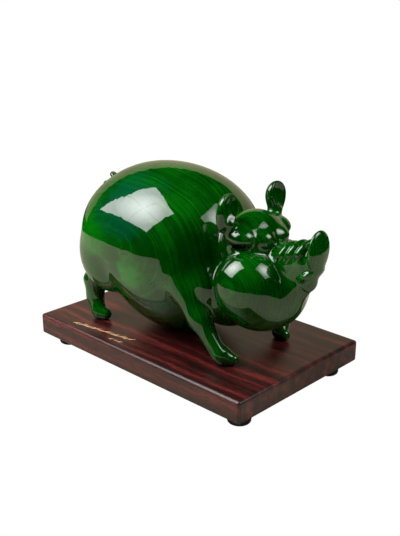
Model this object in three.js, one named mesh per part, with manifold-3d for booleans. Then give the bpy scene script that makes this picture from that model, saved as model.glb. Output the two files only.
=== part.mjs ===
// Jade boar carving on a wooden plinth with four rubber feet.
// Millimetres, +Z up, +X towards the snout, +Y towards the boar's left side.
// The origin is on the ground, under the middle of the object's overall length and width.
import * as THREE from "three";
import { mergeVertices } from "three/addons/utils/BufferGeometryUtils.js";
import Module from "manifold-3d";

const wasm = await Module();
wasm.setup();

// Driving sizes
const carvingLength = 287;
const plinthLength = 280;
const plinthWidth = 176;
const plinthThickness = 22;
const plinthCornerRadius = 3;
const plinthEdgeRound = 0.8;
const footDiameter = 22;
const footHeight = 12;
const footEdgeRound = 3;
const footInsetFromEnd = 19;
const footInsetFromSide = 22;

// The carving is drawn in shares of its own length, this many from tail curl to snout.
const drawnShares = 287;
const share = carvingLength / drawnShares;

const jade = new THREE.MeshStandardMaterial({ name: "jade", color: "#06400f", roughness: 0.08, metalness: 0 });
const rosewood = new THREE.MeshStandardMaterial({ name: "rosewood", color: "#3a2320", roughness: 0.35, metalness: 0 });
const rubber = new THREE.MeshStandardMaterial({ name: "rubber", color: "#0c0b0b", roughness: 0.8, metalness: 0 });

// A form is a function of a point: below zero inside, above zero outside, about the distance between.
// join rounds the corner where two forms meet, and cutAway takes one form out of another. The last
// number of each is its reach, in millimetres: the larger it is, the softer the two flow together.
function join(a, b, reach) {
  const overlap = Math.max(reach - Math.abs(a - b), 0) / reach;
  return Math.min(a, b) - (overlap ** 3 * reach) / 6;
}

function cutAway(a, b, reach) {
  return -join(-a, b, reach);
}

// Turning by yaw about Z, then pitch about Y (nose up), then roll about X, all in degrees.
function turned(centre, { yaw = 0, pitch = 0, roll = 0 } = {}) {
  const [cosYaw, cosPitch, cosRoll] = [yaw, pitch, roll].map((a) => Math.cos((a * Math.PI) / 180));
  const [sinYaw, sinPitch, sinRoll] = [yaw, pitch, roll].map((a) => Math.sin((a * Math.PI) / 180));
  return (x, y, z) => {
    const [px, py, pz] = [x - centre[0], y - centre[1], z - centre[2]];
    const qx = cosYaw * px + sinYaw * py;
    const qy = cosYaw * py - sinYaw * px;
    const rx = cosPitch * qx + sinPitch * pz;
    const rz = cosPitch * pz - sinPitch * qx;
    return [rx, cosRoll * qy + sinRoll * rz, cosRoll * rz - sinRoll * qy];
  };
}

function ellipsoidDistance(x, y, z, [a, b, c]) {
  const near = Math.hypot(x / a, y / b, z / c);
  const steep = Math.hypot(x / (a * a), y / (b * b), z / (c * c));
  return (near * (near - 1)) / Math.max(steep, 1e-9);
}

function ellipsoid(centre, radii, turn) {
  const local = turned(centre, turn);
  return (x, y, z) => ellipsoidDistance(...local(x, y, z), radii);
}

// An egg is as tall as its radii say above its middle and `depth` below it, deeper to the front.
function egg(centre, radii, depth, rise, turn) {
  const local = turned(centre, turn);
  const blend = 40;
  return (x, y, z) => {
    const [qx, qy, qz] = local(x, y, z);
    const below = depth + rise * Math.min(Math.max(qx, -radii[0]), radii[0]);
    const side = qz / blend / Math.hypot(1, qz / blend);
    const height = (radii[2] + below) / 2 + ((radii[2] - below) / 2) * side;
    return ellipsoidDistance(qx, qy, qz, [radii[0], radii[1], height]);
  };
}

// A leaf is an ellipsoid that widens towards its top, as an ear does.
function leaf(centre, radii, widening, turn) {
  const local = turned(centre, turn);
  return (x, y, z) => {
    const [qx, qy, qz] = local(x, y, z);
    const up = qz / radii[2];
    const wider = 1 + (widening * up) / Math.hypot(1, up * Math.SQRT1_2);
    return ellipsoidDistance(qx / wider, qy / wider, qz, radii) * (1 - widening / 2);
  };
}

// A limb is a run of round cones through [place, radius] stations.
function limb(stations, reach = 1) {
  const cones = stations.slice(1).map(([end, endRadius], i) => {
    const [start, startRadius] = stations[i];
    const run = end.map((value, k) => value - start[k]);
    return { start, run, length2: run[0] ** 2 + run[1] ** 2 + run[2] ** 2, startRadius, endRadius };
  });
  return (x, y, z) => {
    let d = Infinity;
    for (const { start, run, length2, startRadius, endRadius } of cones) {
      const [px, py, pz] = [x - start[0], y - start[1], z - start[2]];
      const along = Math.min(Math.max((px * run[0] + py * run[1] + pz * run[2]) / length2, 0), 1);
      const away = Math.hypot(px - along * run[0], py - along * run[1], pz - along * run[2]);
      const cone = away - startRadius - along * (endRadius - startRadius);
      d = d === Infinity ? cone : join(d, cone, reach);
    }
    return d;
  };
}

// A wrinkle is a ring that stands out of the muzzle along its bridge.
function wrinkle(centre, lean, ringRadius, thickness) {
  const size = Math.hypot(1, lean);
  return (x, y, z) => {
    const [px, py, pz] = [x - centre[0], y - centre[1], z - centre[2]];
    const along = (px + lean * pz) / size;
    const away = Math.hypot(px - along / size, py, pz - (along * lean) / size);
    return Math.hypot(away - ringRadius, along) - thickness;
  };
}

// Trunk, hams and legs. The right side (-Y) is drawn and mirrored.
const trunk = egg([-13, 0, 92.5], [81.2, 76, 68.5], 95.4, 0.07, { pitch: -13.3 });
const rump = ellipsoid([-68.7, 0, 101], [41.2, 70, 46]);
const chest = ellipsoid([56, 0, 57], [31, 43, 36]);
const ham = ellipsoid([-69, -48, 77], [36.5, 27.5, 42.5]);
const neck = ellipsoid([56, 0, 86], [34, 32, 40]);
const foreleg = limb([[[26, -50, 78], 16], [[55, -48.75, 41], 9], [[76.5, -46, 12], 7.7]], 16);
const foretoe = limb([[[81, -41, 7], 9.2], [[88, -38, 5.8], 5.5]]);
const hindleg = limb([[[-94, -49, 40], 13], [[-95, -50, 22], 8.2], [[-87, -52, 9], 7.2]], 8);
const hindtoe = limb([[[-86, -52, 6.5], 7], [[-79, -50, 6], 6.2]]);

// Head: skull, jowls, a muzzle that is taller than it is wide, jaw, brows over eye hollows, frown,
// snout disc, lower lip and the wrinkles across the bridge of the muzzle.
const skull = ellipsoid([78, 0, 109], [28.5, 34, 30]);
const throat = ellipsoid([91, 0, 66], [40, 45, 39]);
const jowl = ellipsoid([93, -25, 78], [31, 27, 30], { yaw: 33 });
const muzzle = limb([[[100, 0, 91], 21], [[136, 0, 104.5], 17]]);
const muzzleSlimness = 1.25;
const jaw = limb([[[108, 0, 68], 25], [[139, 0, 85], 8.5]]);
const brow = ellipsoid([83, -24, 120.5], [15, 13, 10], { yaw: -10, pitch: -6 });
const frown = ellipsoid([97, -9.5, 117.5], [11, 11.5, 9.5]);
const eyeHollow = ellipsoid([97, -38, 112], [18, 10, 4], { yaw: -35 });
const snoutDisc = ellipsoid([150.5, 0, 116.5], [5, 14.5, 18.5]);
const lip = ellipsoid([144.5, 0, 94], [11, 14.5, 5], { pitch: 40 });
const bridgeWrinkles = [
  wrinkle([117.5, 0, 104], -0.4, 13.5, 3),
  wrinkle([127, 0, 107], -0.4, 13.5, 3.2),
  wrinkle([136.5, 0, 109.5], -0.4, 13, 3.4),
];

// Ears: upright leaves, hollowed from the front, on short stems.
const earTurn = { roll: -14, pitch: -6 };
const earOutside = leaf([74.5, -34.5, 142], [7.5, 11.5, 18], 0.3, earTurn);
const earInside = leaf([86.5, -34.5, 147], [11, 11.5, 19], 0.3, earTurn);
const earStem = limb([[[76, -28, 122], 8.5], [[76, -32, 132], 6.5]]);

function headIsNear(x, y, z, reach) {
  const [middle, radius] = [[104, 0, 88], 72];
  return Math.hypot(x - middle[0], y - middle[1], z - middle[2]) - radius < reach;
}

// The face and the jowls below it are drawn apart, so that a crease runs between them.
function head(x, y, z) {
  const chin = jaw(x, y, z);
  let face = join(skull(x, y, z), muzzle(x, y * muzzleSlimness, z), 8);
  for (const side of [y, -y]) face = join(join(face, brow(x, side, z), 5), frown(x, side, z), 4);
  for (const side of [y, -y]) face = cutAway(face, eyeHollow(x, side, z), 4);
  face = join(face, chin, 18);
  let jowls = join(throat(x, y, z), chin, 16);
  for (const side of [y, -y]) jowls = join(jowls, jowl(x, side, z), 12);
  let d = join(face, jowls, 5);
  d = join(d, snoutDisc(x, y, z), 7);
  d = join(d, lip(x, y, z), 4);
  for (const ring of bridgeWrinkles) d = join(d, ring(x, y, z), 3);
  return d;
}

function boar(x, y, z) {
  let d = join(trunk(x, y, z), rump(x, y, z), 70);
  d = join(d, chest(x, y, z), 14);
  // The belly hangs low but clears the plinth.
  d = cutAway(d, z - 2, 8);
  for (const side of [y, -y]) {
    d = join(d, ham(x, side, z), 8);
    d = join(d, join(foreleg(x, side, z), foretoe(x, side, z), 9), 11);
    d = join(d, join(hindleg(x, side, z), hindtoe(x, side, z), 8), 8);
  }
  d = join(d, neck(x, y, z), 14);
  if (!headIsNear(x, y, z, d + 6)) return cutAway(d, z, 1.5);
  d = join(d, head(x, y, z), 6);
  for (const side of [y, -y]) {
    const ear = cutAway(earOutside(x, side, z), earInside(x, side, z), 2);
    d = join(d, join(ear, earStem(x, side, z), 5), 4);
  }
  // The soles are cut flat where they stand on the plinth.
  return cutAway(d, z, 1.5);
}

function slope([x, y, z]) {
  const step = 0.05;
  const d = boar(x, y, z);
  const g = [boar(x + step, y, z) - d, boar(x, y + step, z) - d, boar(x, y, z + step) - d];
  return { d, g: g.map((value) => value / step) };
}

function settle(point) {
  const { d, g } = slope(point);
  const steep = Math.max(g[0] ** 2 + g[1] ** 2 + g[2] ** 2, 0.05);
  return point.map((value, k) => value - (d * g[k]) / steep);
}

// The surface is walked with cubes that halve, down to `fine`, where it turns more than `turnLimit`.
// `low` is the corner where the walk starts, and `cells` counts the finest cubes along X, Y and Z.
function facetSurface() {
  const fine = 3;
  const coarse = 4;
  const turnLimit = Math.cos((60 * Math.PI) / 180);
  const surfaceReach = 1.35;
  const low = [-136, -96, -10.5];
  const cells = [100, 64, 64];
  const points = cells.map((count) => count + 1);
  const place = (i, j, k) => [low[0] + fine * i, low[1] + fine * j, low[2] + fine * k];
  const values = new Float64Array(points[0] * points[1] * points[2]).fill(NaN);
  const valueAt = (i, j, k) => {
    const key = (i * points[1] + j) * points[2] + k;
    if (Number.isNaN(values[key])) values[key] = boar(...place(i, j, k));
    return values[key];
  };
  const leaves = [];
  const leafOf = new Int32Array(cells[0] * cells[1] * cells[2]).fill(-1);
  const leafAt = ([i, j, k]) => leafOf[(i * cells[1] + j) * cells[2] + k];

  function turns(i, j, k, size) {
    const half = size / 2;
    const middle = slope(place(i + half, j + half, k + half)).g;
    const length = Math.hypot(...middle);
    for (let corner = 0; corner < 8; corner++) {
      const at = place(i + size * (corner & 1), j + size * ((corner >> 1) & 1), k + size * (corner >> 2));
      const { d, g } = slope(at);
      if (Math.abs(d) > size * fine) continue;
      const dot = (g[0] * middle[0] + g[1] * middle[1] + g[2] * middle[2]) / (length * Math.hypot(...g));
      if (dot < turnLimit) return true;
    }
    return false;
  }

  function visit(i, j, k, size) {
    const half = size / 2;
    const d = boar(...place(i + half, j + half, k + half));
    if (Math.abs(d) > surfaceReach * size * fine) return;
    if (size > 1 && turns(i, j, k, size)) {
      for (let corner = 0; corner < 8; corner++) {
        visit(i + half * (corner & 1), j + half * ((corner >> 1) & 1), k + half * (corner >> 2), half);
      }
      return;
    }
    const id = leaves.push({ at: [i, j, k], size, sum: [0, 0, 0], count: 0 }) - 1;
    for (let a = i; a < i + size; a++) {
      for (let b = j; b < j + size; b++) {
        const column = (a * cells[1] + b) * cells[2] + k;
        leafOf.fill(id, column, column + size);
      }
    }
  }

  for (let i = 0; i < cells[0]; i += coarse) {
    for (let j = 0; j < cells[1]; j += coarse) {
      for (let k = 0; k < cells[2]; k += coarse) visit(i, j, k, coarse);
    }
  }

  // Each edge that crosses the surface joins the cubes around it into one facet. An edge is looked
  // at once, from the first of the smallest cubes that share it.
  const facets = [];
  for (let id = 0; id < leaves.length; id++) {
    const { at, size } = leaves[id];
    for (let axis = 0; axis < 3; axis++) {
      const [u, v] = [(axis + 1) % 3, (axis + 2) % 3];
      for (let corner = 0; corner < 4; corner++) {
        const start = at.slice();
        start[u] += size * (corner & 1);
        start[v] += size * (corner >> 1);
        const end = start.slice();
        end[axis] += size;
        const around = [[-1, -1], [0, -1], [0, 0], [-1, 0]].map(([du, dv]) => {
          const cell = start.slice();
          cell[u] += du;
          cell[v] += dv;
          return leafAt(cell);
        });
        const ownedHere = (n) => n >= 0 && (leaves[n].size > size || (leaves[n].size === size && n >= id));
        if (!around.every(ownedHere)) continue;
        const [a, b] = [valueAt(...start), valueAt(...end)];
        if (a < 0 === b < 0) continue;
        const crossing = place(...start);
        crossing[axis] += (fine * size * a) / (a - b);
        const ring = around.filter((n, m) => n !== around[(m + 1) % 4]);
        for (const n of ring) {
          leaves[n].sum = leaves[n].sum.map((value, m) => value + crossing[m]);
          leaves[n].count += 1;
        }
        if (ring.length >= 3) facets.push(a < 0 ? ring : ring.reverse());
      }
    }
  }

  const spots = leaves.map(({ sum, count }) => (count ? settle(sum.map((value) => value / count)) : sum));
  return { spots, facets };
}

function facetTriangles(spots, facets) {
  const distance = (a, b) => Math.hypot(a[0] - b[0], a[1] - b[1], a[2] - b[2]);
  const triangles = [];
  for (const ring of facets) {
    const [a, b, c, d] = ring;
    if (ring.length === 3) triangles.push([a, b, c]);
    else if (distance(spots[a], spots[c]) <= distance(spots[b], spots[d])) triangles.push([a, b, c], [a, c, d]);
    else triangles.push([a, b, d], [b, c, d]);
  }
  return triangles;
}

function solidFrom(positions, triangles) {
  return new wasm.Manifold(new wasm.Mesh({
    numProp: 3,
    vertProperties: new Float32Array(positions.flat()),
    triVerts: new Uint32Array(triangles.flat()),
  }));
}

function solidOf(geometry) {
  geometry.deleteAttribute("normal");
  geometry.deleteAttribute("uv");
  const sameCorner = 1e-4;
  const merged = mergeVertices(geometry, sameCorner);
  return new wasm.Manifold(new wasm.Mesh({
    numProp: 3,
    vertProperties: new Float32Array(merged.attributes.position.array),
    triVerts: new Uint32Array(merged.index.array),
  }));
}

function cornersAndTriangles(solid) {
  const mesh = solid.getMesh();
  const threes = (array) => Array.from({ length: array.length / 3 }, (_, n) => Array.from(array.slice(3 * n, 3 * n + 3)));
  return { corners: threes(mesh.vertProperties), triangles: threes(mesh.triVerts) };
}

// Corners slide along the surface towards the middle of their neighbours, so the facets even out.
function evenOut(corners, triangles, rounds) {
  const neighbours = corners.map(() => new Set());
  for (const [a, b, c] of triangles) {
    neighbours[a].add(b).add(c);
    neighbours[b].add(c).add(a);
    neighbours[c].add(a).add(b);
  }
  let spots = corners;
  for (let round = 0; round < rounds; round++) {
    spots = spots.map((spot, n) => {
      const around = [...neighbours[n]].map((m) => spots[m]);
      const middle = [0, 1, 2].map((k) => around.reduce((sum, other) => sum + other[k], 0) / around.length);
      return settle(spot.map((value, k) => (value + middle[k]) / 2));
    });
  }
  return spots;
}

function figureSolid() {
  const { spots, facets } = facetSurface();
  const rough = solidFrom(spots, facetTriangles(spots, facets));
  const { corners, triangles } = cornersAndTriangles(rough);
  const eveningRounds = 3;
  const soleFlatness = 0.02;
  const even = evenOut(corners, triangles, eveningRounds).map(([x, y, z]) => {
    return [x * share, y * share, (Math.abs(z) < soleFlatness ? 0 : z) * share];
  });
  return solidFrom(even, triangles);
}

// The tail grows out of the rump and curls down its slope as a loose corkscrew with a rounded tip.
function tailPath() {
  const root = new THREE.Vector3(-105, -4, 130);
  const coilStart = new THREE.Vector3(-112.1, 0, 139);
  const coilEnd = new THREE.Vector3(-130.2, 0, 120.1);
  const outward = new THREE.Vector3(-0.62, 0, 0.785);
  const sideways = new THREE.Vector3(0, 1, 0);
  const coilRadius = 5;
  const turns = 1.6;
  const pointsPerTurn = 8;
  const count = Math.round(turns * pointsPerTurn);
  const points = [root];
  for (let n = 0; n <= count; n++) {
    const angle = 2 * Math.PI * ((turns * n) / count - 0.25);
    const point = new THREE.Vector3().lerpVectors(coilStart, coilEnd, n / count);
    point.addScaledVector(outward, coilRadius * Math.cos(angle));
    points.push(point.addScaledVector(sideways, coilRadius * Math.sin(angle)));
  }
  return new THREE.CatmullRomCurve3(points.map((point) => point.multiplyScalar(share)));
}

function tailSolid() {
  const tailRadius = 2.4 * share;
  const section = new THREE.Shape().absarc(0, 0, tailRadius, 0, 2 * Math.PI, false);
  const path = tailPath();
  const tube = new THREE.ExtrudeGeometry(section, {
    steps: 30,
    curveSegments: 8,
    bevelEnabled: false,
    extrudePath: path,
  });
  const tip = new THREE.IcosahedronGeometry(tailRadius, 1);
  tip.translate(...path.getPoint(1));
  return solidOf(tube).add(solidOf(tip));
}

function geometryOf(solid) {
  const mesh = solid.getMesh();
  const geometry = new THREE.BufferGeometry();
  geometry.setAttribute("position", new THREE.BufferAttribute(new Float32Array(mesh.vertProperties), 3));
  geometry.setIndex(new THREE.BufferAttribute(new Uint32Array(mesh.triVerts), 1));
  geometry.computeVertexNormals();
  return geometry;
}

function carvingMesh() {
  return new THREE.Mesh(geometryOf(figureSolid().add(tailSolid())), jade);
}

// The plinth is a board with rounded corners and slightly rounded edges.
function plinthMesh() {
  const [x, y] = [plinthLength / 2 - plinthEdgeRound, plinthWidth / 2 - plinthEdgeRound];
  const r = plinthCornerRadius - plinthEdgeRound;
  const outline = new THREE.Shape();
  outline.absarc(x - r, y - r, r, 0, Math.PI / 2, false);
  outline.absarc(-x + r, y - r, r, Math.PI / 2, Math.PI, false);
  outline.absarc(-x + r, -y + r, r, Math.PI, 1.5 * Math.PI, false);
  outline.absarc(x - r, -y + r, r, 1.5 * Math.PI, 2 * Math.PI, false);
  const geometry = new THREE.ExtrudeGeometry(outline, {
    depth: plinthThickness - 2 * plinthEdgeRound,
    curveSegments: 4,
    bevelSize: plinthEdgeRound,
    bevelThickness: plinthEdgeRound,
    bevelSegments: 2,
  });
  geometry.translate(0, 0, plinthEdgeRound);
  return new THREE.Mesh(geometry, rosewood);
}

// A foot is a round rubber button with a rounded lower edge.
function footMesh() {
  const radius = footDiameter / 2;
  const arcSteps = 3;
  const sides = 20;
  const profile = [new THREE.Vector2(0, 0)];
  for (let i = 0; i <= arcSteps; i++) {
    const angle = (i / arcSteps) * (Math.PI / 2);
    profile.push(new THREE.Vector2(
      radius - footEdgeRound + footEdgeRound * Math.sin(angle),
      footEdgeRound - footEdgeRound * Math.cos(angle),
    ));
  }
  profile.push(new THREE.Vector2(radius, footHeight), new THREE.Vector2(0, footHeight));
  const geometry = new THREE.LatheGeometry(profile, sides);
  geometry.rotateX(Math.PI / 2);
  return new THREE.Mesh(geometry, rubber);
}

const group = new THREE.Group();

for (const [end, endName] of [[1, "front"], [-1, "rear"]]) {
  for (const [side, sideName] of [[1, "left"], [-1, "right"]]) {
    const foot = footMesh();
    foot.name = `rubber_foot_${endName}_${sideName}`;
    foot.position.set(end * (plinthLength / 2 - footInsetFromEnd), side * (plinthWidth / 2 - footInsetFromSide), 0);
    group.add(foot);
  }
}

const plinth = plinthMesh();
plinth.name = "plinth";
plinth.position.z = footHeight;
group.add(plinth);

const carving = carvingMesh();
carving.name = "boar_carving";
carving.position.z = footHeight + plinthThickness;
group.add(carving);

// The snout reaches past the plinth, so the whole is moved back to be centred over the origin.
const overall = new THREE.Box3().setFromObject(group);
group.position.x = -(overall.min.x + overall.max.x) / 2;
group.position.y = -(overall.min.y + overall.max.y) / 2;

export default group;
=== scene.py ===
import math

import bpy
import numpy as np
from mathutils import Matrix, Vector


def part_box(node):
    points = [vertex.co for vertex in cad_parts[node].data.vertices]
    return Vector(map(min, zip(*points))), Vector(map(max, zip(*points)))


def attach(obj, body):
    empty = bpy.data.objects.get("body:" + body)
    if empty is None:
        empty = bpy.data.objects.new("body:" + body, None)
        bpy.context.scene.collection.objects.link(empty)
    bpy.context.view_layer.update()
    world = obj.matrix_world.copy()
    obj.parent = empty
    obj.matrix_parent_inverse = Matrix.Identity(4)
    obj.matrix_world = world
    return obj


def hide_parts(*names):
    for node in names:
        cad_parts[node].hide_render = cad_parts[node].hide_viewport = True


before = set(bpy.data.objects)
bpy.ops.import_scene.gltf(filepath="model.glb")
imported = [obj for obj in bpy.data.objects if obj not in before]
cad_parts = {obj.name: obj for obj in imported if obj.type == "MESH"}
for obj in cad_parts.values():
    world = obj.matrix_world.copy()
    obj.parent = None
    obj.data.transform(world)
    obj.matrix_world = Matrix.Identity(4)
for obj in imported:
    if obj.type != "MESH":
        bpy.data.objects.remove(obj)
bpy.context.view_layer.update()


# The camera stands where the photograph was taken: ahead of the boar's right shoulder, about 83 cm from
# its middle, looking down at 20 degrees. The focal length is in pixels of the photograph's 400 x 536.
camera_place = (0.5422, -0.5611, 0.3820)
camera_azimuth = math.radians(43.93)
camera_elevation = math.radians(19.92)
focal_pixels = 838
photo_height_pixels = 536
sensor_width_mm = 36

bpy.ops.object.camera_add(
    location=camera_place, rotation=(math.pi / 2 - camera_elevation, 0, camera_azimuth)
)
camera = bpy.context.object
camera.data.sensor_width = sensor_width_mm
camera.data.lens = focal_pixels / photo_height_pixels * sensor_width_mm
camera.data.clip_start = 0.01
bpy.context.scene.camera = camera


# The boar is one block of stone, sawn, ground and carved to a few large soft forms, then polished until
# it mirrors the room. Its surface is worked out again from those forms, because a polish shows every
# facet: each point of a finer copy of the solid is brought onto the form that it belongs to.
millimetre = 0.001
plinth_low, plinth_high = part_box("plinth")
figure_origin = np.array([
    (plinth_low.x + plinth_high.x) / 2,
    (plinth_low.y + plinth_high.y) / 2,
    plinth_high.z,
])


def join(a, b, reach):
    """Two forms flow together where they come within reach of each other."""
    overlap = np.maximum(reach - np.abs(a - b), 0) / reach
    return np.minimum(a, b) - overlap**3 * reach / 6


def cut_away(a, b, reach):
    return -join(-a, b, reach)


def turned(points, centre, yaw=0, pitch=0, roll=0):
    """The points as seen from a form that is turned about Z, then Y, then X, in degrees."""
    local = points - np.array(centre, float)
    for degrees, first, second in ((yaw, 0, 1), (pitch, 0, 2), (roll, 1, 2)):
        cosine = math.cos(math.radians(degrees))
        sine = math.sin(math.radians(degrees))
        a = local[:, first].copy()
        b = local[:, second].copy()
        local[:, first] = cosine * a + sine * b
        local[:, second] = cosine * b - sine * a
    return local


def ellipsoid_distance(local, radii):
    near = np.linalg.norm(local / radii, axis=1)
    steep = np.linalg.norm(local / (radii * radii), axis=1)
    return near * (near - 1) / np.maximum(steep, 1e-9)


def ellipsoid(points, centre, radii, **turn):
    return ellipsoid_distance(turned(points, centre, **turn), np.array(radii, float))


def egg(points, centre, radii, depth, rise, **turn):
    """An ellipsoid with its own depth below its middle, which grows to the front."""
    local = turned(points, centre, **turn)
    below = depth + rise * np.clip(local[:, 0], -radii[0], radii[0])
    blend_mm = 40
    side = local[:, 2] / blend_mm
    side = side / np.sqrt(1 + side * side)
    height = (radii[2] + below) / 2 + (radii[2] - below) / 2 * side
    rows = np.ones(len(local))
    return ellipsoid_distance(local, np.stack([radii[0] * rows, radii[1] * rows, height], axis=1))


def leaf(points, centre, radii, widening, **turn):
    """An ellipsoid that widens towards its top, as an ear does."""
    local = turned(points, centre, **turn)
    up = local[:, 2] / radii[2]
    wider = 1 + widening * up / np.sqrt(1 + up * up / 2)
    local[:, 0] /= wider
    local[:, 1] /= wider
    return ellipsoid_distance(local, np.array(radii, float)) * (1 - widening / 2)


def limb(points, stations, reach=1):
    """A run of round cones through the stations, each a place and a radius."""
    distance = None
    for (start, start_radius), (end, end_radius) in zip(stations, stations[1:]):
        run = np.subtract(end, start)
        along = np.clip((points - start) @ run / (run @ run), 0, 1)
        away = np.linalg.norm(points - start - along[:, None] * run, axis=1)
        cone = away - start_radius - along * (end_radius - start_radius)
        distance = cone if distance is None else join(distance, cone, reach)
    return distance


def wrinkle(points, centre, lean, ring_radius, thickness):
    """A ring round the snout that sinks away towards its underside."""
    axis = np.array([1, 0, lean]) / math.hypot(1, lean)
    offset = points - centre
    along = offset @ axis
    away = np.linalg.norm(offset - along[:, None] * axis, axis=1)
    fade_start_mm = 4
    fade_slope = 0.4
    sunk = fade_slope * np.maximum(fade_start_mm - offset[:, 2], 0)
    return np.hypot(away - ring_radius, along) - thickness + sunk


def body_form(points, sides):
    """Trunk, rump, chest, hams, shoulders, legs and neck, in mm from the middle of the plinth's top."""
    height = points[:, 2]
    form = egg(points, (-13, 0, 92.5), (81.2, 76, 68.5), 95.4, 0.07, pitch=-13.3)
    form = join(form, ellipsoid(points, (-68.7, 0, 101), (41.2, 70, 46)), 70)
    form = join(form, ellipsoid(points, (56, 0, 57), (31, 43, 36)), 14)
    form = cut_away(form, height - 2, 8)
    for side in sides:
        form = join(form, ellipsoid(side, (-69, -48, 77), (36.5, 27.5, 42.5)), 8)
        form = join(form, ellipsoid(side, (49, -41, 70), (16, 12, 21)), 14)
        foreleg = limb(side, [((26, -50, 78), 16), ((55, -48.75, 41), 9), ((76.5, -46, 12), 7.7)], 16)
        foretoe = limb(side, [((81, -41, 7), 9.2), ((88, -38, 5.8), 5.5)])
        form = join(form, join(foreleg, foretoe, 9), 11)
        hindleg = limb(side, [((-94, -49, 40), 13), ((-95, -50, 22), 8.2), ((-87, -52, 9), 7.2)], 8)
        hindtoe = limb(side, [((-86, -52, 6.5), 7), ((-79, -50, 6), 6.2)])
        form = join(form, join(hindleg, hindtoe, 8), 8)
    return join(form, ellipsoid(points, (56, 0, 86), (34, 32, 40)), 14)


def head_form(points, sides):
    """The face above and the jowls below are worked apart, so that a crease runs between them."""
    chin = limb(points, [((108, 0, 68), 25), ((139, 0, 85), 8.5)])
    skull = ellipsoid(points, (78, 0, 109), (28.5, 34, 30))
    muzzle_slimness = 1.25
    muzzle = limb(points * (1, muzzle_slimness, 1), [((100, 0, 91), 21), ((136, 0, 104.5), 17)])
    face = join(skull, muzzle, 8)
    for side in sides:
        face = join(face, ellipsoid(side, (83, -24, 120.5), (15, 13, 10), yaw=-10, pitch=-6), 5)
        face = join(face, ellipsoid(side, (97, -9.5, 117.5), (11, 11.5, 9.5)), 4)
    for side in sides:
        face = cut_away(face, ellipsoid(side, (97, -38, 112), (18, 10, 4), yaw=-35), 4)
    face = join(face, chin, 18)
    jowls = join(ellipsoid(points, (91, 0, 66), (40, 45, 39)), chin, 16)
    for side in sides:
        jowls = join(jowls, ellipsoid(side, (93, -25, 78), (31, 27, 30), yaw=33), 12)
    form = join(face, jowls, 5)
    form = join(form, ellipsoid(points, (150.5, 0, 116.5), (5, 14.5, 18.5)), 7)
    form = join(form, ellipsoid(points, (144.5, 0, 94), (11, 14.5, 5), pitch=40), 4)
    form = join(form, wrinkle(points, (117.5, 0, 104), -0.4, 13.5, 3), 3)
    form = join(form, wrinkle(points, (127, 0, 107), -0.4, 13.5, 3.2), 3)
    return join(form, wrinkle(points, (136.5, 0, 109.5), -0.4, 13, 3.4), 3)


def ear_form(side):
    outside = leaf(side, (74.5, -34.5, 142), (7.5, 11.5, 18), 0.3, roll=-14, pitch=-6)
    inside = leaf(side, (86.5, -34.5, 147), (11, 11.5, 19), 0.3, roll=-14, pitch=-6)
    stem = limb(side, [((76, -28, 122), 8.5), ((76, -32, 132), 6.5)])
    return join(cut_away(outside, inside, 2), stem, 5)


def tail_line():
    """The tail's middle line: out of the rump, then a loose corkscrew down its slope."""
    turns = 1.6
    samples = 13
    coil_radius = 5
    share = np.linspace(0, 1, samples + 1)[:, None]
    angle = 2 * math.pi * (turns * share - 0.25)
    line = (1 - share) * (-112.1, 0, 139) + share * (-130.2, 0, 120.1)
    line = line + coil_radius * np.cos(angle) * (-0.62, 0, 0.785)
    line = line + coil_radius * np.sin(angle) * (0, 1, 0)
    knots = np.vstack([(-100, -3, 122), (-105, -4, 130), line, 2 * line[-1] - line[-2]])
    steps = 6
    smooth = []
    for before, start, end, after in zip(knots, knots[1:], knots[2:], knots[3:]):
        for t in np.arange(steps) / steps:
            bend = 2 * before - 5 * start + 4 * end - after
            twist = -before + 3 * start - 3 * end + after
            smooth.append(start + t / 2 * (end - before + t * (bend + t * twist)))
    return np.array(smooth + [line[-1]])


def tail_form(points, line, radius):
    distance = np.full(len(points), np.inf)
    for start, end in zip(line, line[1:]):
        run = end - start
        along = np.clip((points - start) @ run / (run @ run), 0, 1)
        distance = np.minimum(distance, np.linalg.norm(points - start - along[:, None] * run, axis=1))
    return distance - radius


def boar_form(points):
    """Below zero inside the stone, above zero outside it, and about the distance between."""
    sides = (points, points * (1, -1, 1))
    form = join(body_form(points, sides), head_form(points, sides), 6)
    for side in sides:
        form = join(form, ear_form(side), 4)
    tail = points[:, 0] < tail_reaches_to
    form[tail] = join(form[tail], tail_form(points[tail], tail_centres, tail_radius), tail_root_flare)
    return cut_away(form, points[:, 2], 1.5)


def form_slope(points):
    step = 0.02
    distance = boar_form(points)
    slope = [boar_form(points + step * axis) - distance for axis in np.eye(3)]
    return distance, np.stack(slope, axis=1) / step


tail_radius = 2.4
tail_root_flare = 1.5
tail_reaches_to = -96
tail_centres = tail_line()

bpy.ops.object.select_all(action="DESELECT")
carving = bpy.data.objects.new("polished_boar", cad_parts["boar_carving"].data.copy())
bpy.context.collection.objects.link(carving)
bpy.context.view_layer.objects.active = carving
carving.select_set(True)
bpy.ops.object.mode_set(mode="EDIT")
bpy.ops.mesh.select_all(action="SELECT")
same_corner = 0.000005
bpy.ops.mesh.remove_doubles(threshold=same_corner)
bpy.ops.mesh.subdivide(number_cuts=3)
bpy.ops.object.mode_set(mode="OBJECT")

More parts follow.
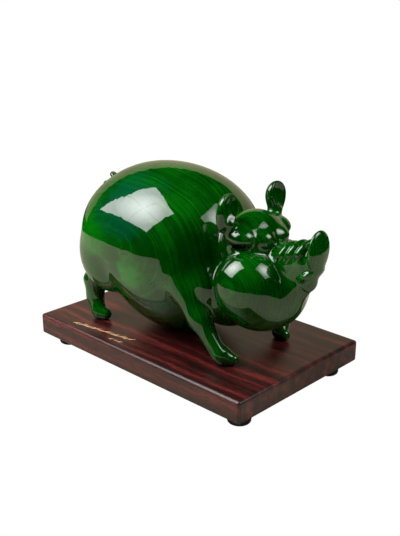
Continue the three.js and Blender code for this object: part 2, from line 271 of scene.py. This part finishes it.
polishing_rounds = 4
landings = 2
least_slope_squared = 0.05
stone_low, stone_high = [
    (np.array(corner) - figure_origin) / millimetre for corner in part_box("boar_carving")
]
points = np.empty(len(carving.data.vertices) * 3)
for polishing in range(polishing_rounds):
    bpy.ops.object.mode_set(mode="EDIT")
    bpy.ops.mesh.vertices_smooth(factor=0.5, repeat=2)
    bpy.ops.object.mode_set(mode="OBJECT")
    carving.data.vertices.foreach_get("co", points)
    spots = (points.reshape(-1, 3) - figure_origin) / millimetre
    for landing in range(landings):
        distance, slope = form_slope(spots)
        steep = np.maximum((slope**2).sum(axis=1), least_slope_squared)
        spots -= slope * (distance / steep)[:, None]
    spots = np.clip(spots, stone_low, stone_high)
    carving.data.vertices.foreach_set("co", (spots * millimetre + figure_origin).ravel())

bpy.ops.object.shade_smooth()
carving.data.normals_split_custom_set_from_vertices(form_slope(spots)[1])
carving.data.update()


def linear(hex_colour):
    """An sRGB hex colour as the linear red, green, blue and alpha that a shader takes."""
    channels = [int(hex_colour[i:i + 2], 16) / 255 for i in (1, 3, 5)]
    return [c / 12.92 if c <= 0.04045 else ((c + 0.055) / 1.055) ** 2.4 for c in channels] + [1]


def add_node(tree, kind, settings=None, values=None, links=None):
    """A node with its settings, its sockets' values and what its sockets are linked to."""
    node = tree.nodes.new(kind)
    for name, value in (settings or {}).items():
        setattr(node, name, value)
    for socket, value in (values or {}).items():
        node.inputs[socket].default_value = value
    for socket, source in (links or {}).items():
        tree.links.new(source, node.inputs[socket])
    return node


def new_material(name):
    material = bpy.data.materials.new(name)
    material.use_nodes = True
    return material, material.node_tree, material.node_tree.nodes["Principled BSDF"]


def ramp_colours(node, stops):
    """Puts the stops, each a place from 0 to 1 and a hex colour, on a colour ramp."""
    elements = node.color_ramp.elements
    while len(elements) < len(stops):
        elements.new(0.5)
    for element, (position, colour) in zip(elements, stops):
        element.position = position
        element.color = linear(colour)


# Nephrite jade, diamond polished: its refraction index of 1.62 gives the clear mirror over a deep green.
# The stone grew in sheets that stand upright along the boar, so the streaks run along its back, down its
# front, and in rings round its flanks. Bluer, darker and paler clouds drift across them, and painted shade
# darkens the neck on both sides, under the head.
jade, tree, shader = new_material("polished_nephrite")
place = add_node(tree, "ShaderNodeTexCoord").outputs["Object"]
waver_size_mm = 60
waver = add_node(
    tree, "ShaderNodeTexNoise",
    values={"Scale": 1000 / waver_size_mm, "Detail": 3, "Roughness": 0.5},
    links={"Vector": place},
)
waver_depth = 0.008
centred = add_node(
    tree, "ShaderNodeVectorMath", {"operation": "SUBTRACT"}, {1: (0.5, 0.5, 0.5)},
    {0: waver.outputs["Color"]},
)
shifted = add_node(
    tree, "ShaderNodeVectorMath", {"operation": "MULTIPLY_ADD"},
    {1: (waver_depth, waver_depth, waver_depth)}, {0: centred.outputs[0], 2: place},
)
streak_width_mm = 1.3
streak_length_mm = 120
along_sheet = 1000 / streak_length_mm
across_sheet = 1000 / streak_width_mm
sheets = add_node(
    tree, "ShaderNodeMapping", values={"Scale": (along_sheet, across_sheet, along_sheet)},
    links={"Vector": shifted.outputs[0]},
)
streaks = add_node(
    tree, "ShaderNodeTexNoise", values={"Scale": 1, "Detail": 5, "Roughness": 0.62},
    links={"Vector": sheets.outputs[0]},
)
green = add_node(tree, "ShaderNodeValToRGB", links={"Fac": streaks.outputs["Fac"]})
ramp_colours(green, [(0.3, "#023603"), (0.52, "#044e06"), (0.74, "#08680c")])
colour = green.outputs[0]
cloud_size_mm = 26
clouds = add_node(
    tree, "ShaderNodeTexNoise", values={"Scale": 1000 / cloud_size_mm, "Detail": 3, "Roughness": 0.5},
    links={"Vector": shifted.outputs[0]},
)
cloud_shade = add_node(tree, "ShaderNodeValToRGB", links={"Fac": clouds.outputs["Fac"]})
ramp_colours(cloud_shade, [(0.38, "#c4cac4"), (0.62, "#ffffff")])
colour = add_node(
    tree, "ShaderNodeMix", {"data_type": "RGBA", "blend_type": "MULTIPLY"}, {"Factor": 1},
    {"A": colour, "B": cloud_shade.outputs[0]},
).outputs["Result"]
ragged_depth = 0.045
ragged = add_node(
    tree, "ShaderNodeVectorMath", {"operation": "MULTIPLY_ADD"},
    {1: (ragged_depth, ragged_depth, ragged_depth)}, {0: clouds.outputs["Color"], 2: shifted.outputs[0]},
)
ragged_middle = figure_origin + ragged_depth / 2
most_tint = 0.75
for middle_mm, reach_mm, blend, tint in (
    ((-26, -64, 140), 46, "MIX", "#03452a"),
    ((-15, 70, 120), 50, "MIX", "#03452a"),
    ((-66, -72, 102), 34, "MIX", "#056809"),
    ((-8, -74, 74), 26, "MIX", "#157a1b"),
    # painted shade: these two darken the neck on both sides, under the overhanging head
    ((58, -42, 106), 42, "MULTIPLY", "#86a48e"),
    ((56, 42, 100), 42, "MULTIPLY", "#86a48e"),
):
    away = add_node(
        tree, "ShaderNodeVectorMath", {"operation": "DISTANCE"},
        {1: ragged_middle + np.array(middle_mm) * millimetre}, {0: ragged.outputs[0]},
    )
    share = add_node(
        tree, "ShaderNodeMapRange", {"interpolation_type": "SMOOTHSTEP"},
        {"From Min": reach_mm * millimetre, "From Max": reach_mm * millimetre / 3, "To Max": most_tint},
        {"Value": away.outputs["Value"]},
    )
    colour = add_node(
        tree, "ShaderNodeMix", {"data_type": "RGBA", "blend_type": blend}, {"B": linear(tint)},
        {"Factor": share.outputs[0], "A": colour},
    ).outputs["Result"]
tree.links.new(colour, shader.inputs["Base Color"])
polish_wave_mm = 9
polish_wave_height = 0.0003
wave = add_node(
    tree, "ShaderNodeTexNoise", values={"Scale": 1000 / polish_wave_mm, "Detail": 1},
    links={"Vector": place},
)
bump = add_node(
    tree, "ShaderNodeBump", values={"Strength": 0.5, "Distance": polish_wave_height},
    links={"Height": wave.outputs["Fac"]},
)
tree.links.new(bump.outputs["Normal"], shader.inputs["Normal"])
shader.inputs["Roughness"].default_value = 0.04
shader.inputs["IOR"].default_value = 1.62

carving.data.materials.clear()
carving.data.materials.append(jade)
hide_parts("boar_carving")
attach(carving, "root")


# The plinth is one rosewood board, sawn square, its corners and edges eased by hand, and finished with a
# satin lacquer. The grain runs along it, in dark and reddish streaks a few millimetres wide.
corner_radius = 0.003
edge_round = 0.0008
plinth_size = plinth_high - plinth_low
bpy.ops.object.select_all(action="DESELECT")
bpy.ops.mesh.primitive_cube_add(size=1, location=(plinth_low + plinth_high) / 2)
board = bpy.context.object
board.name = "rosewood_plinth"
board.scale = plinth_size
bpy.ops.object.transform_apply(location=True, rotation=True, scale=True)
bpy.ops.object.mode_set(mode="EDIT")
bpy.ops.mesh.select_all(action="DESELECT")
bpy.ops.object.mode_set(mode="OBJECT")

# The bevels take in every edge, not only the corners and rims, so each edge ends about 2.6 mm round and
# the bevelled strips cross one another there.
for edge in board.data.edges:
    a, b = [board.data.vertices[i].co for i in edge.vertices]
    edge.select = abs(a.z - b.z) > plinth_size.z / 2
bpy.ops.object.mode_set(mode="EDIT")
bpy.ops.mesh.select_mode(type="EDGE")
bpy.ops.mesh.bevel(offset=corner_radius, segments=8)
bpy.ops.object.mode_set(mode="OBJECT")
for edge in board.data.edges:
    a, b = [board.data.vertices[i].co for i in edge.vertices]
    edge.select = abs(a.z - b.z) < edge_round
bpy.ops.object.mode_set(mode="EDIT")
bpy.ops.mesh.bevel(offset=edge_round, segments=4)
bpy.ops.object.mode_set(mode="OBJECT")

# The crossing strips stand 0.05 mm outside the solid's box, and this brings them back to it.
for vertex in board.data.vertices:
    vertex.co = np.clip(vertex.co, plinth_low, plinth_high)
bpy.ops.object.shade_smooth_by_angle(angle=math.radians(35))

rosewood, tree, shader = new_material("lacquered_rosewood")
place = add_node(tree, "ShaderNodeTexCoord").outputs["Object"]
waver_scale = 14
waver_depth = 0.012
waver = add_node(
    tree, "ShaderNodeTexNoise", values={"Scale": waver_scale, "Detail": 2}, links={"Vector": place}
)
centred = add_node(
    tree, "ShaderNodeVectorMath", {"operation": "SUBTRACT"}, {1: (0.5, 0.5, 0.5)},
    {0: waver.outputs["Color"]},
)
shifted = add_node(
    tree, "ShaderNodeVectorMath", {"operation": "MULTIPLY_ADD"},
    {1: (0, waver_depth, waver_depth)}, {0: centred.outputs[0], 2: place},
)
band_width_mm = 8
band_length_mm = 260
bands = add_node(
    tree, "ShaderNodeMapping",
    values={"Scale": (1000 / band_length_mm, 1000 / band_width_mm, 1000 / band_width_mm)},
    links={"Vector": shifted.outputs[0]},
)
grain = add_node(
    tree, "ShaderNodeTexNoise", values={"Scale": 1, "Detail": 6, "Roughness": 0.52},
    links={"Vector": bands.outputs[0]},
)
wood_colour = add_node(tree, "ShaderNodeValToRGB", links={"Fac": grain.outputs["Fac"]})
ramp_colours(wood_colour, [(0.32, "#180807"), (0.5, "#39100f"), (0.68, "#692523")])
pore_width_mm = 0.5
pore_length_mm = 9
pores_place = add_node(
    tree, "ShaderNodeMapping",
    values={"Scale": (1000 / pore_length_mm, 1000 / pore_width_mm, 1000 / pore_width_mm)},
    links={"Vector": shifted.outputs[0]},
)
pores = add_node(
    tree, "ShaderNodeTexNoise", values={"Scale": 1, "Detail": 2},
    links={"Vector": pores_place.outputs[0]},
)
pore_dark = add_node(tree, "ShaderNodeValToRGB", links={"Fac": pores.outputs["Fac"]})
ramp_colours(pore_dark, [(0.36, "#555555"), (0.46, "#ffffff")])
dimmed = add_node(
    tree, "ShaderNodeMix", {"data_type": "RGBA", "blend_type": "MULTIPLY"}, {"Factor": 1},
    {"A": wood_colour.outputs[0], "B": pore_dark.outputs[0]},
)
tree.links.new(dimmed.outputs["Result"], shader.inputs["Base Color"])
pore_depth = 0.0002
bump = add_node(
    tree, "ShaderNodeBump", values={"Strength": 0.15, "Distance": pore_depth},
    links={"Height": pores.outputs["Fac"]},
)
tree.links.new(bump.outputs["Normal"], shader.inputs["Normal"])
shader.inputs["Roughness"].default_value = 0.33
shader.inputs["IOR"].default_value = 1.5

board.data.materials.append(rosewood)
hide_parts("plinth")
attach(board, "root")


# Two rows of shallow strokes are brushed in gold paint along the board's edge, beside the hind foot,
# where a carving of this kind is often marked. They are plain slanting strokes, tapered to both ends.
gold, tree, shader = new_material("gold_paint")
place = add_node(tree, "ShaderNodeTexCoord").outputs["Object"]
brush_mark_mm = 0.8
brush_marks = add_node(
    tree, "ShaderNodeTexNoise", values={"Scale": 1000 / brush_mark_mm, "Detail": 3},
    links={"Vector": place},
)
gold_colour = add_node(tree, "ShaderNodeValToRGB", links={"Fac": brush_marks.outputs["Fac"]})
ramp_colours(gold_colour, [(0.35, "#d59c6a"), (0.65, "#ffd6a6")])
tree.links.new(gold_colour.outputs[0], shader.inputs["Base Color"])
shader.inputs["Metallic"].default_value = 0.15
shader.inputs["Roughness"].default_value = 0.45

stroke_width_mm = 1.1
stroke_height_mm = 0.15
stroke_bend_mm = 0.5
slant = np.array([0.85, 0.53])
length_wave_step = 2.4
bpy.ops.object.select_all(action="DESELECT")
strokes = []
for row_start, row_end, row_count, shortest, longest in (
    ((-93, -76.5), (-24, -66), 12, 8, 14),
    ((-38, -78), (-26, -76.5), 3, 4, 6),
):
    row_run = np.subtract(row_end, row_start)
    for count in range(row_count):
        share = count / (row_count - 1)
        uneven = 0.5 + 0.5 * math.sin(length_wave_step * count + row_count)
        middle = row_start + share * row_run
        half_run = slant * (shortest + (longest - shortest) * uneven) / 2
        bpy.ops.mesh.primitive_uv_sphere_add(
            segments=16, ring_count=12, radius=1, rotation=(0, math.pi / 2, 0)
        )
        stroke = bpy.context.object
        bpy.ops.object.transform_apply(location=True, rotation=True, scale=True)
        for vertex in stroke.data.vertices:
            along, across, up = vertex.co
            crosswise = across * stroke_width_mm / 2 + stroke_bend_mm * (1 - along**2)
            spot = middle + along * half_run + crosswise * np.array([slant[1], -slant[0]])
            vertex.co = figure_origin + millimetre * np.array([spot[0], spot[1], up * stroke_height_mm])
        strokes.append(stroke)
bpy.ops.object.select_all(action="DESELECT")
for stroke in strokes:
    stroke.select_set(True)
bpy.context.view_layer.objects.active = strokes[0]
bpy.ops.object.join()
marks = bpy.context.object
marks.name = "gold_strokes"
bpy.ops.object.shade_smooth()
marks.data.materials.append(gold)
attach(marks, "root")


# Four moulded rubber buttons are screwed up into the board. They are matte black and softly rounded
# where they meet the table.
rubber, tree, shader = new_material("moulded_rubber")
shader.inputs["Base Color"].default_value = linear("#121111")
shader.inputs["Roughness"].default_value = 0.7
place = add_node(tree, "ShaderNodeTexCoord").outputs["Object"]
grit_size_mm = 0.6
grit_height = 0.0002
grit = add_node(
    tree, "ShaderNodeTexNoise", values={"Scale": 1000 / grit_size_mm, "Detail": 2},
    links={"Vector": place},
)
bump = add_node(
    tree, "ShaderNodeBump", values={"Strength": 0.3, "Distance": grit_height},
    links={"Height": grit.outputs["Fac"]},
)
tree.links.new(bump.outputs["Normal"], shader.inputs["Normal"])
foot_edge_round = 0.003

for node_name in sorted(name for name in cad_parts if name.startswith("rubber_foot")):
    foot_low, foot_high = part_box(node_name)
    bpy.ops.object.select_all(action="DESELECT")
    bpy.ops.mesh.primitive_cylinder_add(
        vertices=64, radius=(foot_high.x - foot_low.x) / 2, depth=foot_high.z - foot_low.z,
        location=(foot_low + foot_high) / 2,
    )
    foot = bpy.context.object
    foot.name = node_name.replace("rubber_foot", "rubber_button")
    bpy.ops.object.transform_apply(location=True, rotation=True, scale=True)
    bpy.ops.object.mode_set(mode="EDIT")
    bpy.ops.mesh.select_all(action="DESELECT")
    bpy.ops.object.mode_set(mode="OBJECT")
    for edge in foot.data.edges:
        heights = [foot.data.vertices[i].co.z for i in edge.vertices]
        edge.select = max(heights) < foot_low.z + foot_edge_round
    bpy.ops.object.mode_set(mode="EDIT")
    bpy.ops.mesh.select_mode(type="EDGE")
    bpy.ops.mesh.bevel(offset=foot_edge_round, segments=6)
    bpy.ops.object.mode_set(mode="OBJECT")
    bpy.ops.object.shade_smooth_by_angle(angle=math.radians(35))
    foot.data.materials.append(rubber)
    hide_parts(node_name)
    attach(foot, "root")


# The studio: a round table in pale paper, a grey wall behind, and two square soft boxes of four panels
# each. The rest of the room is dark, as the polish shows, and the photograph's own background is cut out
# to plain white, so the camera alone sees a white world.
table_radius = 0.56
table_middle = (-0.03, 0, 0)
bpy.ops.object.select_all(action="DESELECT")
bpy.ops.mesh.primitive_circle_add(
    vertices=96, radius=table_radius, fill_type="NGON", location=table_middle
)
table = bpy.context.object
table.name = "studio_table"
table.visible_camera = False
paper, tree, shader = new_material("pale_paper")
shader.inputs["Base Color"].default_value = linear("#b8b2a0")
shader.inputs["Roughness"].default_value = 0.9
shader.inputs["Specular IOR Level"].default_value = 0
table.data.materials.append(paper)

wall_width = 4
wall_height = 0.9
wall_distance = 1.25
away = np.array([-math.sin(camera_azimuth), math.cos(camera_azimuth), 0])
bpy.ops.object.select_all(action="DESELECT")
bpy.ops.mesh.primitive_plane_add(
    size=1, location=wall_distance * away + (0, 0, wall_height / 2),
    rotation=(math.pi / 2, 0, camera_azimuth),
)
wall = bpy.context.object
wall.name = "studio_wall"
wall.scale = (wall_width, wall_height, 1)
wall.visible_camera = False
wall.visible_shadow = False
wall.visible_diffuse = False
grey, tree, shader = new_material("grey_wall")
shader.inputs["Base Color"].default_value = linear("#000000")
shader.inputs["Specular IOR Level"].default_value = 0
shader.inputs["Emission Color"].default_value = linear("#fff0cb")
shader.inputs["Emission Strength"].default_value = 0.55
wall.data.materials.append(grey)


def add_soft_box(name, azimuth_degrees, elevation_degrees, width, brightness, edge_share):
    """A square soft box a metre from the boar, brightest in its middle, as its four panels show."""
    azimuth = math.radians(azimuth_degrees)
    elevation = math.radians(elevation_degrees)
    target = np.array([0, 0, 0.15])
    toward = np.array([
        math.sin(azimuth) * math.cos(elevation),
        -math.cos(azimuth) * math.cos(elevation),
        math.sin(elevation),
    ])
    across = np.array([math.cos(azimuth), math.sin(azimuth), 0])
    upward = np.cross(toward, across)
    gap = 0.004
    panel_width = (width - gap) / 2
    middle = (panel_width + gap) / 2
    for column in (-1, 1):
        for row in (-1, 1):
            bpy.ops.object.light_add(
                type="AREA", location=target + toward + middle * (column * across + row * upward),
                rotation=(math.pi / 2 - elevation, 0, azimuth),
            )
            panel = bpy.context.object
            panel.name = f"{name}_{column}_{row}"
            panel.data.shape = "SQUARE"
            panel.data.size = panel_width
            panel.data.energy = math.pi * panel_width**2
            panel.data.use_nodes = True
            glow_tree = panel.data.node_tree
            glow = glow_tree.nodes["Emission"]
            spot = add_node(glow_tree, "ShaderNodeNewGeometry").outputs["Parametric"]
            from_centre = add_node(
                glow_tree, "ShaderNodeMapping",
                values={"Location": (-0.5 + column / 2, -0.5 + row / 2, 0)}, links={"Vector": spot},
            )
            reach = add_node(
                glow_tree, "ShaderNodeVectorMath", {"operation": "LENGTH"},
                links={0: from_centre.outputs[0]},
            )
            fade = add_node(
                glow_tree, "ShaderNodeMapRange",
                values={"To Min": brightness, "To Max": brightness * edge_share},
                links={"Value": reach.outputs["Value"]},
            )
            glow_tree.links.new(fade.outputs[0], glow.inputs["Strength"])


add_soft_box(
    "left_soft_box", azimuth_degrees=-36.3, elevation_degrees=46.6, width=0.9, brightness=14, edge_share=0.4
)
add_soft_box(
    "right_soft_box", azimuth_degrees=112, elevation_degrees=42, width=0.7, brightness=10, edge_share=0.2
)

bpy.ops.object.light_add(type="AREA", location=(0, 0, 2.2))
table_light = bpy.context.object
table_light.name = "table_light"
table_light.data.size = 3
table_light.data.energy = 8
table_light.visible_glossy = False

world = bpy.context.scene.world or bpy.data.worlds.new("white_backdrop")
bpy.context.scene.world = world
world.use_nodes = True
backdrop = world.node_tree.nodes["Background"]
backdrop.inputs["Color"].default_value = linear("#ffffff")
backdrop.inputs["Strength"].default_value = 1
world.cycles_visibility.diffuse = False
world.cycles_visibility.glossy = False
bpy.context.scene.view_settings.view_transform = "Standard"
